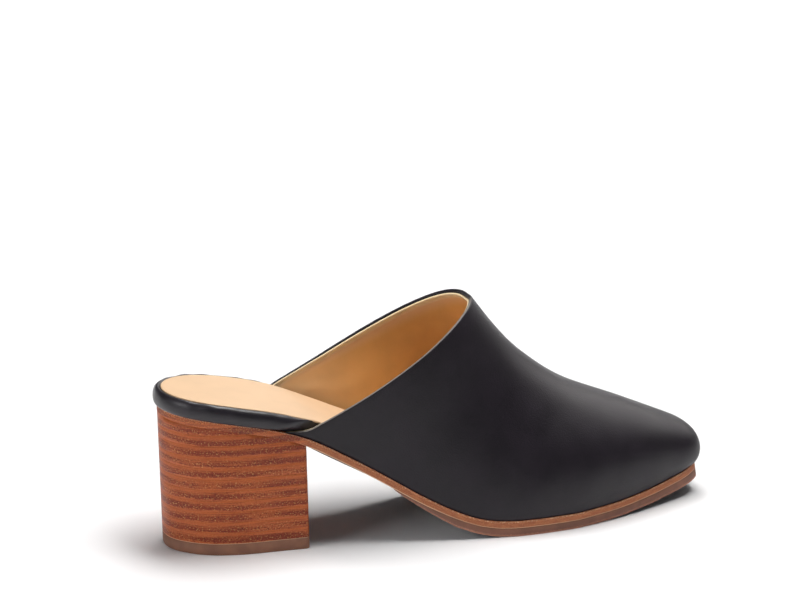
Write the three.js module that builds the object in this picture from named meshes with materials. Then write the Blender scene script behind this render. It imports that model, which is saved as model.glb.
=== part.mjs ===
// Backless mule with a stacked block heel, for the right foot, in millimetres, +Z up.
// X runs from the heel to the toe, +Y is the inner side of the foot, Z = 0 is the floor.
import * as THREE from "three";

// Sole, seen from above
const SOLE_LENGTH = 244.1;
const SEAT_WIDTH = 52;
const WAIST_WIDTH = 54;
const BALL_WIDTH = 78;

// Sole, seen from the side
const SEAT_HEIGHT = 61.8;
const LEATHER_THICKNESS = 3.1;
const RUBBER_THICKNESS = 3.6;
const TOE_SPRING = 7.5;
const RUBBER_START = 95.8;
const SKIVE_LENGTH = 26;
const SKIVED_EDGE = 1.1;

// Block heel
const HEEL_LENGTH = 57;
const BACK_RAKE = 1.2;
const BREAST_RAKE = 1.9;
const SIDE_TAPER = 1.7;
const LIFT_COUNT = 11;
const TOP_PIECE_THICKNESS = 5.1;
const BREAST_CORNER = 2;
const TAPER_START = 6;
const THIN_EDGE = 0.6;

// Footbed and sock
const RIM_HEIGHT = 6.8;
const RIM_OVERHANG = 1.6;
const RIM_TUCK = 2;
const RIM_END = 57.5;
const RIM_EASE = 20;
const BED_END = 8;
const SOCK_THICKNESS = 0.8;
const SOCK_MARGIN = 3.4;

// Upper
const INSTEP_HEIGHT = 91.5;
const WALL = 2;
const FEATHER = 0.6;
const TAIL_LENGTH = 6;
const TAIL_RISE = 0.06;
const COLLAR_FADE = 1.5;

// Space left between neighbouring pieces
const GAP = 0.3;

// Names the columns of a table's rows.
const table = (names, rows) =>
  rows.map((row) => Object.fromEntries(names.map((name, i) => [name, row[i]])));

// Outline of the sole: share of its length, the width that the row follows, and the
// shares of that width that lie on the outer and on the inner side of the centre line.
const OUTLINE = table(["along", "width", "outer", "inner"], [
  [0.000, SEAT_WIDTH, 0.000, 0.000],
  [0.006, SEAT_WIDTH, 0.152, 0.152],
  [0.020, SEAT_WIDTH, 0.269, 0.269],
  [0.045, SEAT_WIDTH, 0.377, 0.377],
  [0.080, SEAT_WIDTH, 0.454, 0.454],
  [0.130, SEAT_WIDTH, 0.496, 0.492],
  [0.190, SEAT_WIDTH, 0.508, 0.498],
  [0.260, WAIST_WIDTH, 0.507, 0.467],
  [0.350, WAIST_WIDTH, 0.541, 0.448],
  [0.450, BALL_WIDTH, 0.427, 0.333],
  [0.550, BALL_WIDTH, 0.482, 0.403],
  [0.630, BALL_WIDTH, 0.506, 0.464],
  [0.700, BALL_WIDTH, 0.494, 0.487],
  [0.780, BALL_WIDTH, 0.436, 0.462],
  [0.860, BALL_WIDTH, 0.345, 0.379],
  [0.920, BALL_WIDTH, 0.265, 0.290],
  [0.960, BALL_WIDTH, 0.208, 0.221],
  [0.985, BALL_WIDTH, 0.150, 0.158],
  [0.996, BALL_WIDTH, 0.102, 0.108],
  [1.000, BALL_WIDTH, 0.000, 0.000],
]);

// Fall of the sole's upper face from the heel seat to the ball, as shares of
// the length and of the height between seat and ball.
const SHANK = table(["along", "rise"], [
  [0.000, 1.000],
  [0.060, 0.969],
  [0.130, 0.915],
  [0.184, 0.857],
  [0.240, 0.766],
  [0.293, 0.641],
  [0.335, 0.530],
  [0.378, 0.412],
  [0.419, 0.296],
  [0.461, 0.187],
  [0.502, 0.096],
  [0.539, 0.036],
  [0.571, 0.009],
  [0.600, 0.000],
]);

// Toe spring, as shares of the length and of the lift at the tip.
const SPRING = table(["along", "lift"], [
  [0.72, 0.00],
  [0.80, 0.10],
  [0.88, 0.33],
  [0.96, 0.74],
  [1.00, 1.00],
]);

// Height of the footbed's upper face over the sole, as shares of the length and of the
// rim's height. It fills the arch in front of the heel seat and is thin under the ball.
const FOOTBED = table(["along", "height"], [
  [0.160, 1.000],
  [0.205, 1.045],
  [0.245, 1.160],
  [0.287, 1.330],
  [0.328, 1.540],
  [0.368, 1.750],
  [0.410, 1.840],
  [0.460, 1.650],
  [0.525, 1.200],
  [0.595, 0.820],
  [0.656, 0.670],
  [0.720, 0.645],
]);

// Edge of the collar, as shares of the arch from the outer side's foot to the inner
// side's, and how far the edge lies past the first section, in steps between sections.
const COLLAR = table(["around", "trim"], [
  [0.000, 0.090],
  [0.110, 0.120],
  [0.190, 0.100],
  [0.250, 0.035],
  [0.305, -0.012],
  [0.360, -0.015],
  [0.440, 0.050],
  [0.520, 0.110],
  [0.600, 0.108],
  [0.670, 0.088],
  [0.750, 0.062],
  [0.830, 0.029],
  [0.890, -0.021],
  [0.917, -0.064],
  [0.944, -0.121],
  [0.967, -0.172],
  [1.000, -0.200],
]);

// Sections of the last from the collar to the toe. Each is an arch that stands on the
// sole at "foot" and leans forward to its crest. Foot and crest are shares of the sole's
// length, lean (crest to the inner side) and the two bulges are shares of the ball width,
// height (crest over the sole) is a share of the instep height, and fullness is the power
// of the superellipse.
const SECTIONS = table(
  ["foot", "crest", "lean", "height", "outerBulge", "innerBulge", "fullness"], [
    [0.2138, 0.5666, 0.051, 1.000, 0.079, 0.097, 3.20],
    [0.3064, 0.5997, 0.051, 0.889, 0.077, 0.092, 3.00],
    [0.4047, 0.6424, 0.051, 0.757, 0.067, 0.077, 2.70],
    [0.5072, 0.6924, 0.045, 0.640, 0.054, 0.059, 2.45],
    [0.6096, 0.7489, 0.038, 0.535, 0.044, 0.041, 2.35],
    [0.6997, 0.8021, 0.032, 0.463, 0.036, 0.031, 2.30],
    [0.7816, 0.8533, 0.026, 0.398, 0.029, 0.026, 2.30],
    [0.8472, 0.9005, 0.015, 0.331, 0.026, 0.023, 2.35],
    [0.9046, 0.9455, 0.008, 0.260, 0.023, 0.022, 2.40],
    [0.9435, 0.9824, 0.003, 0.194, 0.020, 0.020, 2.50],
    [0.9630, 1.0041, 0.000, 0.127, 0.012, 0.014, 2.50],
    [0.9710, 1.0105, 0.000, 0.069, 0.003, 0.006, 2.45],
    [0.9755, 1.0040, 0.000, 0.024, 0.000, 0.000, 2.40],
    [0.9780, 0.9890, 0.000, 0.000, 0.000, 0.000, 2.50],
  ]);

// Steps of the meshes
const PLAN_STEPS = 46;
const LIFT_STEPS = 13;
const CORNER_STEPS = 4;
const UPPER_ROWS = 46;
const UPPER_COLUMNS = 35;

const clamp = (value, low, high) => Math.min(Math.max(value, low), high);
const mix = (a, b, t) => a + (b - a) * t;
const ease = (t) => clamp(t, 0, 1) ** 2 * (3 - 2 * clamp(t, 0, 1));

// Smooth curve through points that never overshoots them: cubic pieces whose slope at
// each point is the weighted harmonic mean of its two chords.
function monotone(xs, ys) {
  const step = xs.slice(1).map((x, i) => x - xs[i]);
  const chord = step.map((h, i) => (ys[i + 1] - ys[i]) / h);
  const slope = ys.map((_, i) => {
    if (i === 0) return chord[0];
    if (i === ys.length - 1) return chord[i - 1];
    if (chord[i - 1] * chord[i] <= 0) return 0;
    const near = step[i] * 2 + step[i - 1];
    const far = step[i] + step[i - 1] * 2;
    return (near + far) / (near / chord[i - 1] + far / chord[i]);
  });
  return (x) => {
    const at = clamp(x, xs[0], xs[xs.length - 1]);
    const i = clamp(xs.findLastIndex((knot) => knot <= at), 0, step.length - 1);
    const t = (at - xs[i]) / step[i];
    return (2 * t ** 3 - 3 * t ** 2 + 1) * ys[i] + (t ** 3 - 2 * t ** 2 + t) * step[i] * slope[i]
      + (3 * t ** 2 - 2 * t ** 3) * ys[i + 1] + (t ** 3 - t ** 2) * step[i] * slope[i + 1];
  };
}

// Smooth curve through evenly numbered values: a cubic spline with free ends.
function natural(values) {
  const last = values.length - 1;
  const lower = new Array(last + 1).fill(0);
  const right = new Array(last + 1).fill(0);
  for (let i = 1; i < last; i++) {
    const pivot = 4 - lower[i - 1];
    lower[i] = 1 / pivot;
    right[i] = (6 * (values[i + 1] - 2 * values[i] + values[i - 1]) - right[i - 1]) / pivot;
  }
  const bend = new Array(last + 1).fill(0);
  for (let i = last - 1; i > 0; i--) bend[i] = right[i] - lower[i] * bend[i + 1];
  return (s) => {
    const i = clamp(Math.floor(s), 0, last - 1);
    const a = i + 1 - s;
    const b = s - i;
    return (bend[i] * a ** 3 + bend[i + 1] * b ** 3) / 6
      + (values[i] - bend[i] / 6) * a + (values[i + 1] - bend[i + 1] / 6) * b;
  };
}

// Even steps round a half turn, so that both ends of a plan come out round.
const turn = (share) => Math.acos(1 - 2 * clamp(share, 0, 1)) / Math.PI;
const share = (step) => (1 - Math.cos(Math.PI * step)) / 2;

const outlineKnots = OUTLINE.map((row) => turn(row.along));
const outerCurve = monotone(outlineKnots, OUTLINE.map((row) => row.outer * row.width));
const innerCurve = monotone(outlineKnots, OUTLINE.map((row) => row.inner * row.width));
const outer = (x) => outerCurve(turn(x / SOLE_LENGTH));
const inner = (x) => innerCurve(turn(x / SOLE_LENGTH));

const ballHeight = RUBBER_THICKNESS + LEATHER_THICKNESS;
const shank = monotone(SHANK.map((row) => row.along), SHANK.map((row) => row.rise));
const spring = monotone(SPRING.map((row) => row.along), SPRING.map((row) => row.lift));

// Height of the leather sole's upper face and of its underside.
const soleTop = (x) => ballHeight
  + (SEAT_HEIGHT - ballHeight) * shank(x / SOLE_LENGTH)
  + TOE_SPRING * spring(x / SOLE_LENGTH);
const soleUnder = (x) => soleTop(x) - LEATHER_THICKNESS;

// How far the sole's edge leans forward per millimetre down, square to the toe spring.
const tilt = (x) => {
  const along = x / SOLE_LENGTH;
  const rise = spring(along + 0.01) - spring(along - 0.01);
  return TOE_SPRING * rise / (0.02 * SOLE_LENGTH);
};

// Half width of an outline moved in or out by a distance: the edge that a disc of that
// radius touches as it rolls round the outline.
const ROLL = Array.from({ length: 13 }, (_, i) => -Math.cos(Math.PI * i / 12));
function moved(side, distance) {
  if (distance < 0) {
    return (x) => Math.min(...ROLL.map((t) => {
      const at = x - distance * t;
      const inside = at > 0 && at < SOLE_LENGTH;
      return (inside ? side(at) : 0) + distance * Math.sqrt(1 - t * t);
    }));
  }
  return (x) => Math.max(...ROLL.map((t) => {
    const at = clamp(x + distance * t, 0, SOLE_LENGTH);
    const reach = distance > 0 ? (at - x) / distance : 0;
    return side(at) + distance * Math.sqrt(Math.max(0, 1 - reach * reach));
  }));
}

// Volume inside a closed mesh, negative where its faces point inwards.
function volume(points, faces) {
  const [a, b, c] = [new THREE.Vector3(), new THREE.Vector3(), new THREE.Vector3()];
  let sum = 0;
  for (let i = 0; i < faces.length; i += 3) {
    a.fromArray(points[faces[i]]);
    b.fromArray(points[faces[i + 1]]);
    c.fromArray(points[faces[i + 2]]);
    sum += a.dot(b.cross(c)) / 6;
  }
  return sum;
}

// Indexed geometry with its faces turned outwards.
function geometry(points, faces) {
  const outward = volume(points, faces) > 0 ? faces : faces.slice().reverse();
  const shape = new THREE.BufferGeometry();
  shape.setAttribute("position", new THREE.Float32BufferAttribute(points.flat(), 3));
  shape.setIndex(outward);
  shape.computeVertexNormals();
  return shape;
}

// Solid through closed rings of equal counts, with a flat fan over the first and the last.
function loft(rings) {
  const count = rings[0].length;
  const faces = [];
  for (let i = 0; i < rings.length - 1; i++) {
    for (let j = 0; j < count; j++) {
      const a = i * count + j;
      const b = i * count + (j + 1) % count;
      faces.push(a, b, a + count, b, b + count, a + count);
    }
  }
  const end = (rings.length - 1) * count;
  for (let j = 1; j < count - 1; j++) {
    faces.push(0, j + 1, j, end, end + j, end + j + 1);
  }
  return geometry(rings.flat(), faces);
}

// Stations from one place to another, close together at both rounded ends.
const roundStations = (from, to, steps) =>
  Array.from({ length: steps }, (_, i) => mix(from, to, share((i + 0.5) / steps)));

// Flat-topped slab: at each station a ring across the shoe, from rows that run up its
// edge. A row gives the half widths to the outer and the inner side, the height and,
// where it isn't the station itself, the place along the shoe.
const slab = (stations, edge) => loft(stations.map((x) => {
  const rows = edge(x);
  return [
    ...rows.map(([out, , z, at = x]) => [at, -out, z]),
    ...rows.toReversed().map(([, into, z, at = x]) => [at, into, z]),
  ];
}));

// Leather outsole, of even thickness from the heel seat to the toe.
function outsole() {
  return slab(roundStations(0, SOLE_LENGTH, PLAN_STEPS), (x) => [
    [outer(x), inner(x), soleUnder(x), x + tilt(x) * LEATHER_THICKNESS],
    [outer(x), inner(x), soleTop(x)],
  ]);
}

// Rubber forefoot sole under the leather, skived thin where it ends at the arch.
function forefootSole() {
  const stations = [
    RUBBER_START,
    ...roundStations(RUBBER_START - SKIVE_LENGTH, SOLE_LENGTH, PLAN_STEPS)
      .filter((x) => x > RUBBER_START + GAP),
  ];
  return slab(stations, (x) => {
    const full = clamp((x - RUBBER_START) / SKIVE_LENGTH, 0, 1);
    const thickness = mix(SKIVED_EDGE, RUBBER_THICKNESS, full);
    const lower = x + tilt(x) * (LEATHER_THICKNESS + thickness);
    const upper = x + tilt(x) * (LEATHER_THICKNESS + GAP);
    return [
      [outer(x), inner(x), soleUnder(x) - thickness, lower],
      [outer(x), inner(x), soleUnder(x) - GAP, upper],
    ];
  });
}

// One layer of the block heel between two heights, with its middle height for the taper.
// The heel's outline is the sole's own, and towards the floor it moves forward and grows
// narrower, which sets in over the first few millimetres. A layer can end short of the
// heel's breast.
function heelLayer(middle, bottomAt, topAt, end = Infinity) {
  const taper = 1 - middle / SEAT_HEIGHT;
  const back = BACK_RAKE * taper;
  const breast = HEEL_LENGTH + BREAST_RAKE * taper;
  const bend = breast - BREAST_CORNER;
  const corner = Array.from({ length: CORNER_STEPS + 1 }, (_, i) =>
    bend + BREAST_CORNER * Math.sin(Math.PI / 2 * i / CORNER_STEPS));
  const round = Array.from({ length: LIFT_STEPS }, (_, i) =>
    mix(back, Math.min(bend, end), 1 - Math.cos(Math.PI / 2 * (i + 0.5) / LIFT_STEPS)));
  const straight = (breast - back) / HEEL_LENGTH;
  return slab(end < bend ? [...round, end] : [...round, ...corner], (x) => {
    const at = (x - back) / straight;
    const past = Math.max(0, x - bend);
    const cut = BREAST_CORNER - Math.sqrt(Math.max(0, BREAST_CORNER ** 2 - past ** 2));
    const narrow = SIDE_TAPER * taper * Math.min(1, at / TAPER_START);
    const out = outer(at) - narrow - cut;
    const into = inner(at) - narrow - cut;
    return [
      [out, into, bottomAt(x)],
      [out, into, topAt(x)],
    ];
  });
}

// Rubber top piece, flat on the floor.
const topPiece = () =>
  heelLayer(TOP_PIECE_THICKNESS / 2, () => 0, () => TOP_PIECE_THICKNESS);

// Leather lift of the stack. The lifts lie flat, and the sloping seat cuts the upper ones,
// so that the last ones run out before the breast.
function heelLift(index) {
  const pitch = (soleUnder(0) - TOP_PIECE_THICKNESS) / LIFT_COUNT;
  const bottom = TOP_PIECE_THICKNESS + pitch * index + GAP;
  const topAt = (x) => Math.min(bottom + pitch, soleUnder(x)) - GAP;
  let end = 0;
  while (end < HEEL_LENGTH && topAt(end) > bottom + THIN_EDGE) end += 0.5;
  return heelLayer(bottom + pitch / 2, () => bottom, topAt, end);
}

const footbedShare = monotone(FOOTBED.map((row) => row.along), FOOTBED.map((row) => row.height));
const footbedHeight = (x) => RIM_HEIGHT * footbedShare(x / SOLE_LENGTH);

// How far the footbed's side stands out past the sole: over it at the bare heel seat, and
// inside the upper's wall further on. It draws in over a length that ends early or at the
// rim's end.
const insideWall = -(FEATHER + WALL + 2 * GAP);
const rimOffset = (x, atHeel, settle, early) =>
  mix(atHeel, insideWall, ease((x - (RIM_END - early - settle)) / settle));

// Leather-wrapped footbed with a soft rim round the bare heel seat. Its lower levels draw
// in first, since the collar's foot is low there.
function footbed() {
  const levels = table(["height", "atHeel", "settle", "early"], [
    [0.00, -GAP, 0.6 * RIM_EASE, 0.5 * RIM_EASE],
    [0.16, 0.55 * RIM_OVERHANG, 0.7 * RIM_EASE, 0.4 * RIM_EASE],
    [0.68, RIM_OVERHANG, RIM_EASE, 0.15 * RIM_EASE],
    [0.92, 0.3 * RIM_OVERHANG, RIM_EASE, 0.05 * RIM_EASE],
    [1.00, RIM_OVERHANG - RIM_TUCK, RIM_EASE, 0],
  ]);
  const toe = SOLE_LENGTH - BED_END;
  return slab(roundStations(0, toe, PLAN_STEPS + 10), (station) =>
    levels.map(({ height, atHeel, settle, early }) => {
      const x = station - atHeel * (1 - station / toe);
      const offset = rimOffset(x, atHeel, settle, early);
      return [
        moved(outer, offset)(x),
        moved(inner, offset)(x),
        soleTop(x) + GAP + (footbedHeight(x) - GAP) * height,
        x,
      ];
    }));
}

// Sock lining, laid on the footbed inside its rim.
function sock() {
  const margin = RIM_OVERHANG - SOCK_MARGIN;
  const stations = roundStations(-margin, SOLE_LENGTH - BED_END - GAP, PLAN_STEPS);
  return slab(stations, (x) => {
    const offset = rimOffset(x, margin, RIM_EASE, 0) - GAP;
    const out = Math.max(0.5, moved(outer, offset)(x));
    const into = Math.max(0.5, moved(inner, offset)(x));
    const bed = soleTop(x) + footbedHeight(x) + GAP;
    return [
      [out, into, bed],
      [out, into, bed + SOCK_THICKNESS],
    ];
  });
}

// Point of the upper's outer face: row counts along the sections, and angle runs over the
// arch from the outer side's foot (0) to the inner side's (PI). The side swells out by
// sin(2a) (1 + cos(2a)) of its slant a, most at a third of the arch. Near the collar the
// sections shift so that the first ends at its edge, and behind the collar's outer foot
// a short tail runs back along the sole.
const sectionCurve = (name) => natural(SECTIONS.map((row) => row[name]));
const crestAt = sectionCurve("crest");
const footAt = sectionCurve("foot");
const leanAt = sectionCurve("lean");
const heightAt = sectionCurve("height");
const outerBulgeAt = sectionCurve("outerBulge");
const innerBulgeAt = sectionCurve("innerBulge");
const fullnessAt = sectionCurve("fullness");
const collarTrim = monotone(COLLAR.map((row) => row.around), COLLAR.map((row) => row.trim));
const SWELL_PEAK = 3 * Math.sqrt(3) / 4;
function upperPoint(row, angle) {
  const s = row + collarTrim(angle / Math.PI) * (1 - ease(row / COLLAR_FADE));
  const power = fullnessAt(s);
  const [cos, sin] = [Math.cos(angle), Math.sin(angle)];
  const radius = (Math.abs(cos) ** power + Math.abs(sin) ** power) ** (-1 / power);
  const side = radius * cos;
  const up = radius * sin;
  const low = side > 0 ? Math.max(0, 1 - up / TAIL_RISE) : 0;
  const tail = low ** 2 * Math.max(0, 1 - row) ** 2;
  const foot = footAt(s) * SOLE_LENGTH - TAIL_LENGTH * tail;
  const crest = crestAt(s) * SOLE_LENGTH;
  const base = soleTop(foot) + GAP;
  const peak = soleTop(crest) + GAP + heightAt(s) * INSTEP_HEIGHT;
  const out = outer(foot) - FEATHER;
  const into = inner(foot) - FEATHER;
  const middle = (into - out) / 2;
  const slant = Math.atan2(Math.abs(up), Math.abs(side));
  const bulge = (side > 0 ? outerBulgeAt(s) : innerBulgeAt(s)) * BALL_WIDTH;
  const swell = bulge * Math.sin(2 * slant) * (1 + Math.cos(2 * slant)) / SWELL_PEAK;
  return new THREE.Vector3(
    mix(foot, crest, up),
    middle - (out + into) / 2 * side - Math.sign(side) * swell
      + (leanAt(s) * BALL_WIDTH - middle) * up,
    mix(base, peak, up),
  );
}

// Upper: one wall between the last's outer face and the same face moved in along its
// normal, open at the collar and underneath.
function upper() {
  const rows = UPPER_ROWS;
  const columns = UPPER_COLUMNS;
  const last = SECTIONS.length - 1;
  const nudge = 0.01;
  const outside = [];
  const inside = [];
  for (let i = 0; i < rows; i++) {
    for (let j = 0; j < columns; j++) {
      const s = last * i / (rows - 1);
      const around = j / (columns - 1);
      const angle = Math.PI * mix(around, share(around), 0.5);
      const point = upperPoint(s, angle);
      const [s0, s1] = [Math.max(0, s - nudge), Math.min(last, s + nudge)];
      const [a0, a1] = [Math.max(0, angle - nudge), Math.min(Math.PI, angle + nudge)];
      const along = upperPoint(s1, angle).sub(upperPoint(s0, angle));
      const over = upperPoint(s, a1).sub(upperPoint(s, a0));
      const inward = over.cross(along).normalize();
      const lining = point.clone().addScaledVector(inward, WALL);
      const onSole = j === 0 || j === columns - 1 || i === rows - 1;
      if (onSole) lining.z = soleTop(lining.x) + GAP;
      outside.push(point.toArray());
      inside.push(lining.toArray());
    }
  }
  const offset = rows * columns;
  const faces = [];
  for (let i = 0; i < rows - 1; i++) {
    for (let j = 0; j < columns - 1; j++) {
      const a = i * columns + j;
      const [b, c, d] = [a + 1, a + columns, a + columns + 1];
      faces.push(a, c, b, b, c, d);
      faces.push(a + offset, b + offset, c + offset, b + offset, d + offset, c + offset);
    }
  }
  const border = [
    ...Array.from({ length: columns - 1 }, (_, j) => j),
    ...Array.from({ length: rows - 1 }, (_, i) => i * columns + columns - 1),
    ...Array.from({ length: columns - 1 }, (_, j) => offset - 1 - j),
    ...Array.from({ length: rows - 1 }, (_, i) => (rows - 1 - i) * columns),
  ];
  border.forEach((a, k) => {
    const b = border[(k + 1) % border.length];
    faces.push(a, b, a + offset, b, b + offset, a + offset);
  });
  return geometry([...outside, ...inside], faces);
}

const finish = (color, roughness) =>
  new THREE.MeshStandardMaterial({ color, roughness, metalness: 0 });
const blackLeather = finish(0x232226, 0.45);
const tanLeather = finish(0xe8c292, 0.6);
const soleLeather = finish(0xa8683f, 0.7);
const brownRubber = finish(0x694633, 0.8);
const stackedLeather = [finish(0x93523a, 0.5), finish(0x7b412c, 0.5)];

const shoe = new THREE.Group();
function add(name, shape, material) {
  const mesh = new THREE.Mesh(shape, material);
  mesh.name = name;
  shoe.add(mesh);
}

add("upper", upper(), blackLeather);
add("sock", sock(), tanLeather);
add("footbed", footbed(), blackLeather);
add("outsole", outsole(), soleLeather);
add("forefoot_sole", forefootSole(), brownRubber);
for (let i = 0; i < LIFT_COUNT; i++) {
  const number = String(i + 1).padStart(2, "0");
  add(`heel_lift_${number}`, heelLift(i), stackedLeather[i % 2]);
}
add("top_piece", topPiece(), brownRubber);

// The origin is the middle of the shoe's box, on the floor.
const box = new THREE.Box3().setFromObject(shoe);
const centre = box.getCenter(new THREE.Vector3());
shoe.position.set(-centre.x, -centre.y, -box.min.z);

export default shoe;
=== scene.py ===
"""Black leather mule with a stacked block heel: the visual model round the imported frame."""

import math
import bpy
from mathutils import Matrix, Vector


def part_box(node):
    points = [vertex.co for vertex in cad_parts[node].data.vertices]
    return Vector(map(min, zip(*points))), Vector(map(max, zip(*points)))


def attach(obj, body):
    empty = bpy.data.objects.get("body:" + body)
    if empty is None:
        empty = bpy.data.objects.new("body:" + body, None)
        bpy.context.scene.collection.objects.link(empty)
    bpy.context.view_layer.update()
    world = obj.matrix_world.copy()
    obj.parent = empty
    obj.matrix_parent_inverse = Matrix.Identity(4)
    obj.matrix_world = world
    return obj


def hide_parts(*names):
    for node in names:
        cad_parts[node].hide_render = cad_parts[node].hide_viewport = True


bl_info = {
    "name": "Block heel mule",
    "version": (1, 0, 0),
    "blender": (4, 5, 0),
    "location": "View3D > Sidebar > Mule",
    "description": "Builds a leather mule with a stacked heel, piece by piece",
    "category": "Add Mesh",
}

from collections import namedtuple

import bmesh
import bpy
import numpy as np
from bpy.props import FloatProperty, FloatVectorProperty, IntProperty, PointerProperty
from mathutils import Euler, Vector

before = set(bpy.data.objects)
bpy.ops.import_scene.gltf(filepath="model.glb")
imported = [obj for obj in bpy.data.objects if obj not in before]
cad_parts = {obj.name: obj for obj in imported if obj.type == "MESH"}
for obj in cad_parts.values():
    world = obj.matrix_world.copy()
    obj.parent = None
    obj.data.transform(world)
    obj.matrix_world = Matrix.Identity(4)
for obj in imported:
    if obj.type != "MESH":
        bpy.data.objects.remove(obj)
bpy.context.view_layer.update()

MM = 0.001
LIFT_NODES = sorted(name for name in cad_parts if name.startswith("heel_lift_"))

# Tables of the shoe's forms

# Plan of the sole: the place along it, the width that its half widths are shares of, and
# the half widths to the outer and the inner side.
Outline = namedtuple("Outline", "along width outer inner")
OUTLINE = [Outline(*row) for row in (
    (0.000, "seat", 0.000, 0.000), (0.006, "seat", 0.152, 0.152),
    (0.020, "seat", 0.269, 0.269), (0.045, "seat", 0.377, 0.377),
    (0.080, "seat", 0.454, 0.454), (0.130, "seat", 0.496, 0.492),
    (0.190, "seat", 0.508, 0.498), (0.260, "waist", 0.507, 0.467),
    (0.350, "waist", 0.541, 0.448), (0.450, "ball", 0.427, 0.333),
    (0.550, "ball", 0.482, 0.403), (0.630, "ball", 0.506, 0.464),
    (0.700, "ball", 0.494, 0.487), (0.780, "ball", 0.436, 0.462),
    (0.860, "ball", 0.345, 0.379), (0.920, "ball", 0.265, 0.290),
    (0.960, "ball", 0.208, 0.221), (0.985, "ball", 0.150, 0.158),
    (0.996, "ball", 0.102, 0.108), (1.000, "ball", 0.000, 0.000),
)]

# Fall of the sole's upper face from the seat to the ball, as shares of length and height.
SHANK = np.array([
    (0.000, 1.000), (0.060, 0.969), (0.130, 0.915), (0.184, 0.857), (0.240, 0.766),
    (0.293, 0.641), (0.335, 0.530), (0.378, 0.412), (0.419, 0.296), (0.461, 0.187),
    (0.502, 0.096), (0.539, 0.036), (0.571, 0.009), (0.600, 0.000),
])

# Toe spring, as shares of the length and of the lift at the tip.
SPRING = np.array([(0.72, 0.0), (0.80, 0.10), (0.88, 0.33), (0.96, 0.74), (1.0, 1.0)])

# Height of the footbed over the sole, as shares of the length and of the rim's height.
FOOTBED = np.array([
    (0.160, 1.000), (0.205, 1.045), (0.245, 1.160), (0.287, 1.330), (0.328, 1.540),
    (0.368, 1.750), (0.410, 1.840), (0.460, 1.650), (0.525, 1.200), (0.595, 0.820),
    (0.656, 0.670), (0.720, 0.645),
])

# Edge of the collar, as shares of the arch from the outer side's foot to the inner side's,
# and how far it lies past the first section, in steps between sections.
COLLAR = np.array([
    (0.000, 0.090), (0.110, 0.120), (0.190, 0.100), (0.250, 0.035), (0.305, -0.012),
    (0.360, -0.015), (0.440, 0.050), (0.520, 0.110), (0.600, 0.108), (0.670, 0.088),
    (0.750, 0.062), (0.830, 0.029), (0.890, -0.021), (0.917, -0.064), (0.944, -0.121),
    (0.967, -0.172), (1.000, -0.200),
])

# Sections of the last from the collar to the toe: each is an arch that stands on the sole
# at "foot" and leans forward to its crest.
Section = namedtuple("Section", "foot crest lean height outer_bulge inner_bulge fullness")
SECTIONS = [Section(*row) for row in (
    (0.2138, 0.5666, 0.051, 1.000, 0.079, 0.097, 3.20),
    (0.3064, 0.5997, 0.051, 0.889, 0.077, 0.092, 3.00),
    (0.4047, 0.6424, 0.051, 0.757, 0.067, 0.077, 2.70),
    (0.5072, 0.6924, 0.045, 0.640, 0.054, 0.059, 2.45),
    (0.6096, 0.7489, 0.038, 0.535, 0.044, 0.041, 2.35),
    (0.6997, 0.8021, 0.032, 0.463, 0.036, 0.031, 2.30),
    (0.7816, 0.8533, 0.026, 0.398, 0.029, 0.026, 2.30),
    (0.8472, 0.9005, 0.015, 0.331, 0.026, 0.023, 2.35),
    (0.9046, 0.9455, 0.008, 0.260, 0.023, 0.022, 2.40),
    (0.9435, 0.9824, 0.003, 0.194, 0.020, 0.020, 2.50),
    (0.9630, 1.0041, 0.000, 0.127, 0.012, 0.014, 2.50),
    (0.9710, 1.0105, 0.000, 0.069, 0.003, 0.006, 2.45),
    (0.9755, 1.0040, 0.000, 0.024, 0.000, 0.000, 2.40),
    (0.9780, 0.9890, 0.000, 0.000, 0.000, 0.000, 2.50),
)]

# Side of the footbed's rim from the sole up over its shoulder and down to the sock: how
# far it stands out past the sole, the share of the rim's height, and a rise over that.
RIM_PROFILE = np.array([
    (-0.30, 0.00, 0.00), (0.75, 0.05, 0.00), (1.40, 0.22, 0.00), (1.60, 0.48, 0.00),
    (1.35, 0.74, 0.10), (0.60, 0.92, 0.42), (-0.40, 1.00, 0.62), (-1.20, 1.00, 0.45),
    (-1.75, 1.00, 0.05), (-2.50, 1.00, -0.05),
])

# Side of the sock, from its lower edge up: how far out, and the share of its thickness.
SOCK_PROFILE = [(-0.15, 0.0), (0.0, 0.25), (0.0, 0.6), (-0.12, 0.85), (-0.4, 0.98), (-1.2, 1.0)]

# How much earlier than the rim's end each level of the rim is inside the upper, as shares
# of the rim's height and of its ease, and the share of the ease that the bend takes.
SETTLE = np.array([(0.00, 0.55), (0.16, 0.20), (0.50, -0.05), (0.75, -0.15), (1.00, -0.30)])
SETTLE_LENGTH = 0.5

# Soft creases of the lining: the middle of each, along the shoe and over the sole, the
# slope that it runs at, half its length and width, and its depth, all in mm and degrees.
Crease = namedtuple("Crease", "along up slope length width depth")
CREASES = [Crease(*row) for row in (
    (60.0, 6.0, 35.0, 6.0, 1.1, 0.22),
    (66.0, 7.0, 30.0, 8.0, 1.3, -0.20),
    (72.0, 11.0, 38.0, 9.0, 1.6, 0.25),
    (84.0, 17.0, 30.0, 12.0, 2.6, 0.22),
    (99.0, 30.0, 50.0, 11.0, 3.0, 0.20),
)]

# Mesh steps
PLAN_STEPS = 180
CAP_COLUMNS = 24
UPPER_ROWS = 220
UPPER_COLUMNS = 161
ROW_SPREAD = 1.25
EDGE_STEPS = 8
RIM_ROWS = 28
HEEL_STEPS = 80
CORNER_STEPS = 8
ARRIS_DEGREES = (0, 30, 60, 90)
WELD = 2e-6

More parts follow.
